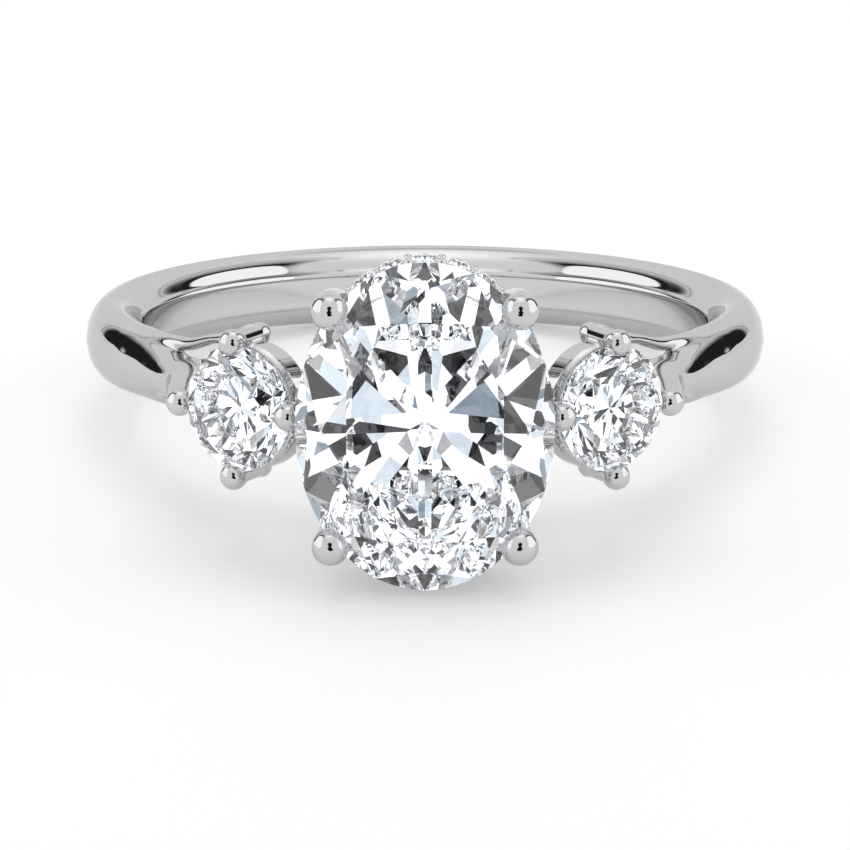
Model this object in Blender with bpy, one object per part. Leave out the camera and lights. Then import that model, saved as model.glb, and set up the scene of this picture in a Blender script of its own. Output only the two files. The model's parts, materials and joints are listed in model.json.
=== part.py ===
"""Three stone ring: an oval centre stone over a hidden halo, and a round stone on each shoulder.

The ring is modelled about its finger hole: x runs across the head, the head faces -y, and z is the
hole's axis. An empty then lays the whole ring down as it rests on a table, on the centre stone's
edge and the back of the band. All lengths are in metres.
"""

import math

import bmesh
import bpy
import numpy as np
from mathutils import Matrix, Vector

MM = 0.001

# Finger hole and band
BORE_RADIUS = 8.17 * MM
BAND_THICKNESS = 1.69 * MM
BAND_HALF_WIDTH = 1.19 * MM
BRIDGE_THICKNESS = 1.00 * MM
BRIDGE_HALF_WIDTH = 0.34 * MM
BAND_STEPS = 56

# Centre stone and its prongs
CENTRE_HALF_X = 3.36 * MM
CENTRE_HALF_Z = 4.32 * MM
CENTRE_CROWN = 0.86 * MM
CENTRE_PAVILION = 3.32 * MM
CENTRE_CULET_OVER_BRIDGE = 1.39 * MM
CENTRE_GIRDLE_HEIGHT = BORE_RADIUS + BRIDGE_THICKNESS + CENTRE_CULET_OVER_BRIDGE + CENTRE_PAVILION
CENTRE_BALL_RADIUS = 0.488 * MM
CENTRE_BALL_RISE = 0.35 * MM
CENTRE_BALL_OUT = 0.08 * MM
CENTRE_SHAFT_RADIUS = 0.36 * MM
PRONG_TURN = math.radians(44.6)

# Side stones, their prongs and collars
SIDE_RADIUS = 1.68 * MM
SIDE_CROWN = 0.55 * MM
SIDE_PAVILION = 1.46 * MM
SIDE_LEAN = math.radians(34.85)
SIDE_GAP = 0.205 * MM
SIDE_DROP = 2.51 * MM
SIDE_OFFSET = CENTRE_HALF_X + SIDE_GAP + SIDE_RADIUS * math.cos(SIDE_LEAN)
SIDE_GIRDLE_HEIGHT = CENTRE_GIRDLE_HEIGHT - SIDE_DROP
SIDE_BALL_RADIUS = 0.37 * MM
SIDE_BALL_RISE = 0.20 * MM
SIDE_BALL_OUT = 0.11 * MM
SIDE_BALL_TURN = math.radians(90)
SIDE_SHAFT_RADIUS = 0.27 * MM
SIDE_FOOT_GROWTH = 1.3
COLLAR_OVERHANG = 0.03 * MM
COLLAR_WALL = 0.32 * MM
COLLAR_TOP = 0.24 * MM
COLLAR_HEIGHT = 0.84 * MM
ELBOW_DEPTH = 1.30 * MM
ELBOW_OUT = 0.12 * MM
ELBOW_BACK = 0.24 * MM

# Hidden halo
HALO_INSET = 0.18 * MM
HALO_TOP = 1.19 * MM
HALO_HEIGHT = 0.86 * MM
HALO_WALL = 0.62 * MM
HALO_HALF_X = CENTRE_HALF_X - HALO_INSET
HALO_HALF_Z = CENTRE_HALF_Z - HALO_INSET
HALO_DEPTH = HALO_TOP + HALO_HEIGHT / 2
HALO_STONES_AT_ENDS = 5
HALO_STONES_AT_SIDES = 6
HALO_STONE_GAP = 0.11 * MM
HALO_BEAD_RADIUS = 0.125 * MM
HALO_BEAD_PLACE = 0.36

# Girdle's half height as a share of the stone, and the room between a stone and its seat
GIRDLE_HALF_SHARE = 0.022
STONE_CLEARANCE = 0.04 * MM

# Band section, from the middle of the bore round to the top of the dome: the depth from the bore as a
# share of the thickness, and the place across as a share of the half width.
BAND_SECTION = (
    (0.00, 0.00),
    (0.00, 0.30),
    (0.03, 0.42),
    (0.08, 0.50),
    (0.22, 0.77),
    (0.40, 0.96),
    (0.58, 0.98),
    (0.78, 0.82),
    (0.94, 0.46),
    (1.00, 0.00),
)

# How the band grows from the bridge under the stones: degrees from the head, then the share of the
# way from the bridge's thickness to the band's, and the same for the half width.
BAND_GROWTH = (
    (0, 0.00, 0.00),
    (49, 0.00, 0.00),
    (54, 0.45, 0.25),
    (59, 0.85, 0.70),
    (66, 1.00, 0.83),
    (90, 1.00, 0.93),
    (135, 1.00, 0.98),
    (180, 1.00, 1.00),
)

# Upper limb of a shoulder: degrees from the head, height over the bore as a share of the band's
# thickness, place across as a share of the side stone's radius, then the bar's half depth and half
# width as shares of the side prong's shaft radius. It ends in the elbow under the prong.
LIMB_ROUTE = (
    (66, 0.44, 0.34, 1.60, 1.20),
    (58, 0.50, 0.42, 1.40, 1.05),
    (51, 0.56, 0.475, 1.20, 0.85),
    (44, 0.64, 0.525, 1.00, 0.66),
    (37, 0.85, 0.706, 0.90, 0.53),
    (32, 1.09, 0.82, 0.90, 0.55),
    (27.8, 1.15, 0.981, 0.90, 0.67),
)

# Middle limb of a shoulder: degrees from the head, height over the bore and half depth as shares of
# the band's thickness, half width as a share of the band's half width. It ends in the outer prong.
MIDDLE_LIMB = (
    (72, 0.50, 0.46, 0.76),
    (62, 0.53, 0.46, 0.78),
    (53, 0.64, 0.45, 0.71),
    (45, 0.90, 0.41, 0.54),
    (39, 1.31, 0.33, 0.50),
    (35, 1.92, 0.24, 0.36),
)

# Section of a side stone's collar: how far in, as a share of its wall, and how far down its height.
COLLAR_SECTION = ((0.00, 0.16), (0.00, 0.88), (-0.25, 1.00), (-1.00, 1.00), (-1.00, 0.00), (-0.30, 0.00))

# Shaft of a centre prong: depth under the girdle as a share of the way down to the bridge, and how
# far out it is as a share of the ball's place along x and z.
CENTRE_SHAFT = (
    (0.00, 1.00, 1.00),
    (0.12, 1.01, 1.01),
    (0.36, 0.96, 0.96),
    (0.50, 0.88, 0.88),
    (0.66, 0.68, 0.64),
    (0.84, 0.42, 0.34),
    (1.02, 0.22, 0.13),
)

# Shaft of the side prong next to the centre stone: depth under the girdle as a share of the way to the
# bridge's foot, and how far out it is as a share of its ball's reach.
INNER_SHAFT = (
    (-0.03, 1.00),
    (0.07, 0.985),
    (0.16, 0.94),
    (0.40, 0.84),
    (0.73, 0.62),
    (1.18, 0.26),
)

# Brilliant cuts: the table's half sizes as shares of the girdle's, how many times steeper the lower
# halves are than the pavilion mains, and how deep the mains aim as a share of the pavilion's depth. The
# oval also has facets round its culet, given by their depth at the girdle as a share of that depth.
ROUND_CUT = {"table": (0.60, 0.60), "lower_halves": 1.042, "mains_aim": 1.0}
OVAL_CUT = {"table": (0.60, 0.66), "lower_halves": 1.16, "mains_aim": 1.024, "culet_facets": 0.084}
STAR_DROP = 0.27
FACETS_ROUND = 8
GIRDLE_STEPS = 48
ROUGH_SHARE = 4.0
FACET_WELD = 0.0003 * MM

# Cut of the halo's stones, as shares of their radius
SMALL_TABLE = 0.58
SMALL_CROWN = 0.30
SMALL_GIRDLE = 0.05
SMALL_PAVILION = 0.80

WHITE_GOLD = (0.80, 0.80, 0.81)
DIAMOND = (0.96, 0.97, 0.98)


def clear_scene():
    for old in list(bpy.data.objects):
        bpy.data.objects.remove(old)


def plain_material(name, colour, metallic, roughness, transmission=0.0):
    material = bpy.data.materials.new(name)
    material.use_nodes = True
    shader = material.node_tree.nodes["Principled BSDF"]
    shader.inputs["Base Color"].default_value = (*colour, 1.0)
    shader.inputs["Metallic"].default_value = metallic
    shader.inputs["Roughness"].default_value = roughness
    shader.inputs["Transmission Weight"].default_value = transmission
    material.diffuse_color = (*colour, 1.0)
    return material


def new_object(name, bm, material=None, smooth_angle=None):
    """An object made of this mesh, with its faces turned outwards."""
    bm.normal_update()
    bmesh.ops.recalc_face_normals(bm, faces=bm.faces)
    mesh = bpy.data.meshes.new(name)
    bm.to_mesh(mesh)
    bm.free()
    if material:
        mesh.materials.append(material)
    if smooth_angle:
        mesh.shade_smooth()
        mesh.set_sharp_from_angle(angle=smooth_angle)
    thing = bpy.data.objects.new(name, mesh)
    bpy.context.scene.collection.objects.link(thing)
    return thing


# Tubes, rings and balls

def smooth_route(points, steps):
    """Points along a curve that passes smoothly through the given ones."""
    ends = [2 * points[0] - points[1], *points, 2 * points[-1] - points[-2]]
    route = []
    for before, start, end, after in zip(ends, ends[1:], ends[2:], ends[3:]):
        for step in range(steps):
            t = step / steps
            route.append(
                0.5 * (2 * start + (end - before) * t
                       + (2 * before - 5 * start + 4 * end - after) * t ** 2
                       + (3 * start - before - 3 * end + after) * t ** 3)
            )
    route.append(points[-1])
    return route


def bridge_rings(bm, rings, closed):
    """Side faces between neighbouring rings of vertices; an open run gets a cap at each end."""
    pairs = list(zip(rings, rings[1:]))
    if closed:
        pairs.append((rings[-1], rings[0]))
    for ring, following in pairs:
        count = len(ring)
        for index in range(count):
            beside = (index + 1) % count
            bm.faces.new((ring[index], ring[beside], following[beside], following[index]))
    if not closed:
        bm.faces.new(rings[0])
        bm.faces.new(rings[-1])


def add_bar(bm, route, half_sizes, across, sides=8):
    """A bar of oval section along a route: half_sizes gives, at each point, its half size square to
    the across direction and along it."""
    rings = []
    for index, (point, (half_deep, half_across)) in enumerate(zip(route, half_sizes)):
        ahead = route[min(index + 1, len(route) - 1)] - route[max(index - 1, 0)]
        deep = ahead.cross(across).normalized()
        wide = deep.cross(ahead).normalized()
        ring = []
        for side in range(sides):
            turn = math.tau * side / sides
            ring.append(bm.verts.new(
                point + deep * half_deep * math.cos(turn) + wide * half_across * math.sin(turn)
            ))
        rings.append(ring)
    bridge_rings(bm, rings, closed=False)


def add_shaft(bm, route, radius_from, radius_to, across, sides=8):
    last = len(route) - 1
    radii = [radius_from + (radius_to - radius_from) * index / last for index in range(len(route))]
    add_bar(bm, route, [(radius, radius) for radius in radii], across, sides)


def add_ball(bm, centre, radius, segments=12, rings=8):
    bmesh.ops.create_uvsphere(
        bm, u_segments=segments, v_segments=rings, radius=radius,
        matrix=Matrix.Translation(centre) @ Matrix.Rotation(math.radians(90), 4, "X"),
    )


def add_oval_ring(bm, place, half_x, half_z, section, steps):
    """A closed ring of the given section round a head's axis: section holds offsets outwards and
    inwards along the head's axis."""
    rings = []
    for step in range(steps):
        turn = math.tau * step / steps
        out = Vector((math.cos(turn) / half_x, 0, math.sin(turn) / half_z)).normalized()
        rim = Vector((half_x * math.cos(turn), 0, half_z * math.sin(turn)))
        rings.append([
            bm.verts.new(place @ (rim + out * outwards + Vector((0, deeper, 0))))
            for outwards, deeper in section
        ])
    bridge_rings(bm, rings, closed=True)


# Places of the heads: local y runs down from the girdle towards the finger

def centre_place():
    return Matrix.Translation((0, -CENTRE_GIRDLE_HEIGHT, 0))


def side_place(side):
    """The frame of a side head: side is -1 on the left and +1 on the right. Local x points to the
    centre stone."""
    inwards = Vector((-side * math.cos(SIDE_LEAN), -math.sin(SIDE_LEAN), 0))
    deeper = Vector((-side * math.sin(SIDE_LEAN), math.cos(SIDE_LEAN), 0))
    frame = Matrix((inwards, deeper, Vector((0, 0, 1)))).transposed().to_4x4()
    return Matrix.Translation((side * SIDE_OFFSET, -SIDE_GIRDLE_HEIGHT, 0)) @ frame


def around_finger(angle, radius, z):
    """A point at this angle from the head, positive towards +x."""
    return Vector((radius * math.sin(angle), -radius * math.cos(angle), z))


# Cut stones

def facet_plane(a, b, c):
    """The plane through three points, as a height over x and z: height = p + q * x + r * z."""
    rows = Matrix([(1, point[0], point[1]) for point in (a, b, c)])
    return rows.inverted() @ Vector([point[2] for point in (a, b, c)])


def meeting_point(plane, other, height):
    """Where two facet planes meet at the given height."""
    square = Matrix(((plane[1], plane[2]), (other[1], other[2])))
    x, z = square.inverted() @ Vector((height - plane[0], height - other[0]))
    return (x, z, height)


def table_corner(turn, table):
    """A corner of the eight-sided table, whose sides lie at the given shares of the half sizes."""
    corner_share = math.tan(math.pi / 8)
    x, z = math.cos(turn), math.sin(turn)
    if abs(x) > abs(z):
        return (math.copysign(table[0], x), math.copysign(table[0] * corner_share, z))
    return (math.copysign(table[1] * corner_share, x), math.copysign(table[1], z))


def main_planes(turns, corners, height, girdle):
    """Main facets: each holds the girdle's tangent at its turn and the corner at the given height."""
    planes = []
    for turn, corner in zip(turns, corners):
        x, z = math.cos(turn), math.sin(turn)
        planes.append(facet_plane((x, z, girdle), (x - z, z + x, girdle), (*corner, height)))
    return planes


def half_planes(turns, steps, level, tips):
    """Half facets: from each start turn, one holds the girdle's points at both its ends and a tip."""
    planes = []
    for turn, tip in zip(turns, tips):
        for start in (turn, turn + steps):
            ends = [(math.cos(at), math.sin(at), level) for at in (start, start + steps)]
            planes.append(facet_plane(*ends, tip))
    return planes


def clipped(outline, normal, distance):
    """What is left of a facet's outline when another facet is ground across it."""
    kept = []
    for point, after in zip(outline, np.roll(outline, -1, axis=0)):
        here = point @ normal - distance
        there = after @ normal - distance
        if here <= 0:
            kept.append(point)
        if here * there < 0:
            kept.append(point + (after - point) * here / (here - there))
    return np.array(kept)


def ground(facets):
    """The outlines of a stone's facets, each given by its normal and its distance from the middle."""
    outlines = []
    for normal, distance in facets:
        size = np.linalg.norm(normal)
        across = np.cross(normal, (0, 0, 1) if abs(normal[2]) < 0.9 * size else (1, 0, 0))
        across = across / np.linalg.norm(across)
        beside = np.cross(normal / size, across)
        middle = normal * distance / size ** 2
        outline = np.array([middle + ROUGH_SHARE * (across * x + beside * z)
                            for x, z in ((-1, -1), (1, -1), (1, 1), (-1, 1))])
        for other, level in facets:
            if other is not normal and len(outline):
                outline = clipped(outline, other, level)
        if len(outline) > 2:
            outlines.append(outline)
    return outlines


def brilliant(half_x, half_z, crown, pavilion, cut):
    """A brilliant cut stone, ground facet by facet: table, stars, crown mains, upper halves, girdle,
    lower halves and pavilion mains. Local y points from the table to the culet. Heights are worked out
    as shares of half_x."""
    crown, pavilion, girdle = crown / half_x, pavilion / half_x, GIRDLE_HALF_SHARE
    eighth = math.tau / FACETS_ROUND
    turns = [eighth * (number + 0.5) for number in range(FACETS_ROUND)]
    corners = [table_corner(turn, cut["table"]) for turn in turns]
    mains = main_planes(turns, corners, crown, girdle)
    star_height = crown - STAR_DROP * (crown - girdle)
    stars, tips = [], []
    for number, main in enumerate(mains):
        after = (number + 1) % FACETS_ROUND
        tips.append(meeting_point(main, mains[after], star_height))
        stars.append(facet_plane((*corners[number], crown), (*corners[after], crown), tips[-1]))
    upper = mains + stars + half_planes(turns, eighth / 2, girdle, tips)
    facets = [(np.array((-plane[1], -plane[2], 1)), plane[0]) for plane in upper]
    facets.append((np.array((0.0, 0.0, 1.0)), crown))

    def grind_pavilion(count, offset, steepness, level, reach):
        """A tier of facets that are level deep where they are reach far out."""
        for number in range(count):
            turn = math.tau * (number + offset) / count
            normal = np.array((steepness * math.cos(turn), steepness * math.sin(turn), -1))
            facets.append((normal, level + steepness * reach))

    steepness = pavilion * cut["mains_aim"] - girdle
    grind_pavilion(FACETS_ROUND, 0.5, steepness, girdle, 1)
    halves = 2 * FACETS_ROUND
    grind_pavilion(halves, 0.5, steepness * cut["lower_halves"], girdle, math.cos(math.pi / halves))
    if "culet_facets" in cut:
        grind_pavilion(FACETS_ROUND, 0, pavilion * (1 - cut["culet_facets"]), pavilion, 0)
    for step in range(GIRDLE_STEPS):
        turn = turns[0] + math.tau * (step + 0.5) / GIRDLE_STEPS
        facets.append((np.array((math.cos(turn), math.sin(turn), 0)), math.cos(math.pi / GIRDLE_STEPS)))

    bm = bmesh.new()
    for outline in ground(facets):
        bm.faces.new([bm.verts.new((x * half_x, -height * half_x, z * half_z)) for x, z, height in outline])
    bmesh.ops.remove_doubles(bm, verts=bm.verts, dist=FACET_WELD)
    return bm


def small_brilliant(radius, clearance=None):
    """A halo stone: table, eight crown facets, girdle and eight pavilion facets. With a clearance it
    is the cutter of that stone's seat: larger by it, and as wide outwards as at its girdle."""
    grow = clearance or 0.0
    girdle = radius + grow
    crown = SMALL_CROWN * radius + grow
    levels = [(SMALL_TABLE * radius, crown), (girdle, SMALL_GIRDLE * radius)]
    if clearance:
        levels = [(girdle, crown)]
    levels.append((girdle, -SMALL_GIRDLE * radius))
    bm = bmesh.new()
    rings = []
    for ring_radius, height in levels:
        rings.append([
            bm.verts.new((ring_radius * math.cos(math.tau * (side + 0.5) / FACETS_ROUND), -height,
                          ring_radius * math.sin(math.tau * (side + 0.5) / FACETS_ROUND)))
            for side in range(FACETS_ROUND)
        ])
    culet = bm.verts.new((0, SMALL_PAVILION * radius + grow, 0))
    bm.faces.new(rings[0])
    for ring, following in zip(rings, rings[1:]):
        for side in range(FACETS_ROUND):
            beside = (side + 1) % FACETS_ROUND
            bm.faces.new((ring[side], ring[beside], following[beside], following[side]))
    for side in range(FACETS_ROUND):
        bm.faces.new((rings[-1][side], rings[-1][(side + 1) % FACETS_ROUND], culet))
    return bm


# The halo's layout

def halo_step(turn):
    """How fast the halo's edge runs, in metres for each radian of turn."""
    return math.hypot(HALO_HALF_X * math.sin(turn), HALO_HALF_Z * math.cos(turn))


def halo_arc(start, end, samples=200):
    """The length of the halo's edge between two turns."""
    step = (end - start) / samples
    return sum(halo_step(start + (number + 0.5) * step) * step for number in range(samples))


def halo_point(middle, length, samples=200):
    """The turn that lies this far along the halo's edge from another."""
    turn = middle
    for _ in range(samples):
        turn += length / samples / halo_step(turn)
    return turn


def halo_layout():
    """The halo stones' radius, their turns, and the turns of the beads beside them. The stones stand
    in four groups between the prongs, two at the sides and two at the ends."""
    room = CENTRE_SHAFT_RADIUS + HALO_BEAD_RADIUS
    groups = []
    for number in range(4):
        middle = number * math.pi / 2
        at_side = number % 2 == 0
        half_turn = PRONG_TURN if at_side else math.pi / 2 - PRONG_TURN
        count = HALO_STONES_AT_SIDES if at_side else HALO_STONES_AT_ENDS
        arc = halo_arc(middle - half_turn, middle + half_turn) - 2 * room
        groups.append((middle, count, arc))
    pitch = min(arc / count for _, count, arc in groups)
    stones, beads = [], []
    for middle, count, _ in groups:
        stones += [halo_point(middle, (number - (count - 1) / 2) * pitch) for number in range(count)]
        beads += [halo_point(middle, (number - count / 2) * pitch) for number in range(count + 1)]
    return (pitch - HALO_STONE_GAP) / 2, stones, beads


def halo_place(turn):
    """The frame of a halo stone: it stands in the rail's outer face and looks outwards."""
    rim = Vector((HALO_HALF_X * math.cos(turn), HALO_DEPTH, HALO_HALF_Z * math.sin(turn)))
    out = Vector((math.cos(turn) / HALO_HALF_X, 0, math.sin(turn) / HALO_HALF_Z)).normalized()
    along = out.cross(Vector((0, 1, 0))).normalized()
    frame = Matrix((along, -out, Vector((0, 1, 0)))).transposed().to_4x4()
    return centre_place() @ Matrix.Translation(rim) @ frame


# The mount

def table_values(table, key):
    """The values of a table's row at this key, which lies between two of its rows."""
    for row, after in zip(table, table[1:]):
        if key <= after[0]:
            share = max(key - row[0], 0) / (after[0] - row[0])
            return [start + (end - start) * share for start, end in zip(row[1:], after[1:])]
    return table[-1][1:]


def band_section(angle):
    """The band's section at this angle from the head, where it is as thin as the bridge."""
    thicker, wider = table_values(BAND_GROWTH, abs(math.degrees(angle)))
    thickness = BRIDGE_THICKNESS + (BAND_THICKNESS - BRIDGE_THICKNESS) * thicker
    half_width = BRIDGE_HALF_WIDTH + (BAND_HALF_WIDTH - BRIDGE_HALF_WIDTH) * wider
    outline = [(depth * thickness, across * half_width) for depth, across in BAND_SECTION]
    outline += [(depth, -across) for depth, across in outline[-2:0:-1]]
    return [around_finger(angle, BORE_RADIUS + depth, across) for depth, across in outline]


def add_band(bm):
    rings = []
    for step in range(BAND_STEPS):
        angle = math.tau * (step + 0.5) / BAND_STEPS - math.pi
        rings.append([bm.verts.new(point) for point in band_section(angle)])
    bridge_rings(bm, rings, closed=True)


def side_ball(place, turn):
    """The centre of a side stone's ball: turn 0 is next to the centre stone."""
    reach = SIDE_RADIUS + SIDE_BALL_OUT
    return place @ Vector((reach * math.cos(turn), -SIDE_BALL_RISE, reach * math.sin(turn)))


def add_limb(bm, side, level):
    """An upper (level 1) or lower (level -1) limb: it leaves the band, runs behind the side stone
    and turns up at an elbow into that stone's prong."""
    place = side_place(side)
    route = [
        around_finger(side * math.radians(degrees), BORE_RADIUS + height * BAND_THICKNESS,
                      level * across * SIDE_RADIUS)
        for degrees, height, across, _, _ in LIMB_ROUTE
    ]
    sizes = [Vector(row[3:]) * SIDE_SHAFT_RADIUS for row in LIMB_ROUTE]
    elbow = place @ Vector((-ELBOW_BACK, ELBOW_DEPTH, level * (SIDE_RADIUS + ELBOW_OUT)))
    route.append(elbow)
    sizes.append(Vector((1, 1)) * SIDE_SHAFT_RADIUS)
    ball = side_ball(place, level * SIDE_BALL_TURN)
    across = Vector((0, 0, 1))
    add_bar(bm, smooth_route(route, 2), smooth_route(sizes, 2), across)
    add_ball(bm, elbow, SIDE_SHAFT_RADIUS, segments=8, rings=6)
    add_shaft(bm, [elbow, ball], SIDE_SHAFT_RADIUS, SIDE_SHAFT_RADIUS, across)
    add_ball(bm, ball, SIDE_BALL_RADIUS)


def add_middle_limb(bm, side):
    """The band's own middle, which narrows and rises into the outer prong of the side stone."""
    ball = side_ball(side_place(side), math.pi)
    route = [
        around_finger(side * math.radians(degrees), BORE_RADIUS + height * BAND_THICKNESS, 0)
        for degrees, height, _, _ in MIDDLE_LIMB
    ]
    sizes = [Vector((deep * BAND_THICKNESS, wide * BAND_HALF_WIDTH)) for _, _, deep, wide in MIDDLE_LIMB]
    route.append(ball)
    sizes.append(Vector((1, 1)) * SIDE_SHAFT_RADIUS)
    add_bar(bm, smooth_route(route, 2), smooth_route(sizes, 2), Vector((0, 0, 1)), sides=12)
    add_ball(bm, ball, SIDE_BALL_RADIUS)


def add_inner_prong(bm, side):
    """The side stone's prong next to the centre stone, which stands on the bridge."""
    place = side_place(side)
    foot_depth = SIDE_GIRDLE_HEIGHT - BORE_RADIUS
    reach = SIDE_RADIUS + SIDE_BALL_OUT
    route = [place @ Vector((out * reach, down * foot_depth, 0)) for down, out in INNER_SHAFT]
    add_shaft(bm, smooth_route(route, 2), SIDE_SHAFT_RADIUS, SIDE_FOOT_GROWTH * SIDE_SHAFT_RADIUS,
              Vector((0, 0, 1)))
    add_ball(bm, side_ball(place, 0), SIDE_BALL_RADIUS)


def add_side_basket(bm, side):
    add_middle_limb(bm, side)
    add_inner_prong(bm, side)
    for level in (1, -1):
        add_limb(bm, side, level)
    collar = [(inwards * COLLAR_WALL, COLLAR_TOP + down * COLLAR_HEIGHT)
              for inwards, down in COLLAR_SECTION]
    radius = SIDE_RADIUS + COLLAR_OVERHANG
    add_oval_ring(bm, side_place(side), radius, radius, collar, steps=28)


def add_centre_head(bm):
    place = centre_place()
    foot_depth = CENTRE_GIRDLE_HEIGHT - BORE_RADIUS - BRIDGE_THICKNESS / 2
    ball_x = (CENTRE_HALF_X + CENTRE_BALL_OUT) * math.cos(PRONG_TURN)
    ball_z = (CENTRE_HALF_Z + CENTRE_BALL_OUT) * math.sin(PRONG_TURN)
    for side in (-1, 1):
        for level in (-1, 1):
            ball = place @ Vector((side * ball_x, -CENTRE_BALL_RISE, level * ball_z))
            route = [ball]
            route += [place @ Vector((side * out_x * ball_x, down * foot_depth, level * out_z * ball_z))
                      for down, out_x, out_z in CENTRE_SHAFT]
            add_shaft(bm, smooth_route(route, 2), CENTRE_SHAFT_RADIUS, CENTRE_SHAFT_RADIUS,
                      Vector((0, 0, 1)))
            add_ball(bm, ball, CENTRE_BALL_RADIUS, segments=14, rings=9)


def add_halo_rail(bm, bead_turns):
    top, foot = HALO_TOP, HALO_TOP + HALO_HEIGHT
    section = [(0, top), (0, foot), (-HALO_WALL, foot), (-HALO_WALL, top)]
    add_oval_ring(bm, centre_place(), HALO_HALF_X, HALO_HALF_Z, section, steps=52)
    for turn in bead_turns:
        frame = halo_place(turn)
        for edge in (-1, 1):
            place = frame @ Vector((0, 0, edge * HALO_BEAD_PLACE * HALO_HEIGHT))
            bmesh.ops.create_icosphere(
                bm, subdivisions=1, radius=HALO_BEAD_RADIUS, matrix=Matrix.Translation(place)
            )


def cutter(name, bm, collection):
    thing = new_object(name, bm)
    bpy.context.scene.collection.objects.unlink(thing)
    collection.objects.link(thing)
    thing.hide_render = True
    thing.display_type = "WIRE"
    return thing


def seat_cutters(halo_radius, stone_turns):
    """The stones' own shapes, a clearance larger, which cut their seats into the mount."""
    seats = bpy.data.collections.new("seat_cutters")
    bpy.context.scene.collection.children.link(seats)
    seats.hide_render = True
    grow = STONE_CLEARANCE
    centre = brilliant(CENTRE_HALF_X + grow, CENTRE_HALF_Z + grow, CENTRE_CROWN + grow,
                       CENTRE_PAVILION + grow, OVAL_CUT)
    centre.transform(centre_place())
    cutter("seat_centre", centre, seats)
    for side, word in ((-1, "left"), (1, "right")):
        seat = brilliant(SIDE_RADIUS + grow, SIDE_RADIUS + grow, SIDE_CROWN + grow,
                         SIDE_PAVILION + grow, ROUND_CUT)
        seat.transform(side_place(side))
        cutter(f"seat_{word}", seat, seats)
    for number, turn in enumerate(stone_turns, start=1):
        pocket = small_brilliant(halo_radius, grow)
        pocket.transform(halo_place(turn))
        cutter(f"seat_halo_{number:02d}", pocket, seats)
    return seats


def build_mount(material, halo_radius, stone_turns, bead_turns):
    """The whole soldered mount: every part of it is fused, and the stones' seats are then cut."""
    bm = bmesh.new()
    add_band(bm)
    for side in (-1, 1):
        add_side_basket(bm, side)
    add_centre_head(bm)
    add_halo_rail(bm, bead_turns)
    mount = new_object("ring_mount", bm, material, smooth_angle=math.radians(40))
    seats = seat_cutters(halo_radius, stone_turns)
    cut = mount.modifiers.new("seats", "BOOLEAN")
    cut.operation = "DIFFERENCE"
    cut.operand_type = "COLLECTION"
    cut.collection = seats
    cut.solver = "EXACT"
    cut.use_self = True
    return mount


def build_stones(material, halo_radius, stone_turns):
    centre = brilliant(CENTRE_HALF_X, CENTRE_HALF_Z, CENTRE_CROWN, CENTRE_PAVILION,
                       OVAL_CUT)
    centre.transform(centre_place())
    stones = [new_object("centre_stone", centre, material)]
    for side, word in ((-1, "left"), (1, "right")):
        stone = brilliant(SIDE_RADIUS, SIDE_RADIUS, SIDE_CROWN, SIDE_PAVILION, ROUND_CUT)
        stone.transform(side_place(side))
        stones.append(new_object(f"side_stone_{word}", stone, material))
    for number, turn in enumerate(stone_turns, start=1):
        stone = small_brilliant(halo_radius)
        stone.transform(halo_place(turn))
        stones.append(new_object(f"halo_stone_{number:02d}", stone, material))
    return stones


# Resting pose

def resting_tilt(points):
    """How far the ring leans when it lies on its side: the slope of the long edge that its lowest
    points span under the finger hole."""
    hull = []
    for point in sorted(points):
        while len(hull) > 1:
            (y0, z0), (y1, z1) = hull[-2:]
            if (y1 - y0) * (point[1] - z0) > (z1 - z0) * (point[0] - y0):
                break
            hull.pop()
        hull.append(point)
    for (y0, z0), (y1, z1) in zip(hull, hull[1:]):
        if y0 <= 0 <= y1:
            return math.atan2(z0 - z1, y1 - y0)
    return 0.0


def lay_down(pieces):
    """Parents every piece to an empty that leans the ring into its resting pose, its lowest points
    at z = 0 and the middle of its box over the origin."""
    points = [vertex.co.copy() for piece in pieces for vertex in piece.data.vertices]
    tilt = resting_tilt([(round(point.y, 7), round(point.z, 7)) for point in points])
    lean = Matrix.Rotation(tilt, 4, "X")
    placed = [lean @ point for point in points]
    low = [min(point[axis] for point in placed) for axis in range(3)]
    high = [max(point[axis] for point in placed) for axis in range(3)]
    rest = bpy.data.objects.new("ring_at_rest", None)
    bpy.context.scene.collection.objects.link(rest)
    rest.location = (-(low[0] + high[0]) / 2, -(low[1] + high[1]) / 2, -low[2])
    rest.rotation_euler = (tilt, 0, 0)
    for piece in pieces:
        piece.parent = rest
    for seat in bpy.data.collections["seat_cutters"].objects:
        seat.parent = rest


def main():
    clear_scene()
    gold = plain_material("white_gold", WHITE_GOLD, metallic=1.0, roughness=0.08)
    diamond = plain_material("diamond", DIAMOND, metallic=0.0, roughness=0.0, transmission=1.0)
    halo_radius, stone_turns, bead_turns = halo_layout()
    mount = build_mount(gold, halo_radius, stone_turns, bead_turns)
    stones = build_stones(diamond, halo_radius, stone_turns)
    lay_down([mount, *stones])


main()
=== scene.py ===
"""Three stone ring in polished white gold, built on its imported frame.

The metal is modelled as a jeweller solders it: bars, balls, collars and a rail are fused into one solid
with small fillets, the stones' seats are cut, and the solid is then given a fine skin. Sizes are in
millimetres and in the ring's own frame: x runs across the head, the head faces -y, and z is the finger
hole's axis. The whole ring is then laid down in the pose that the frame gives.
"""

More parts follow.
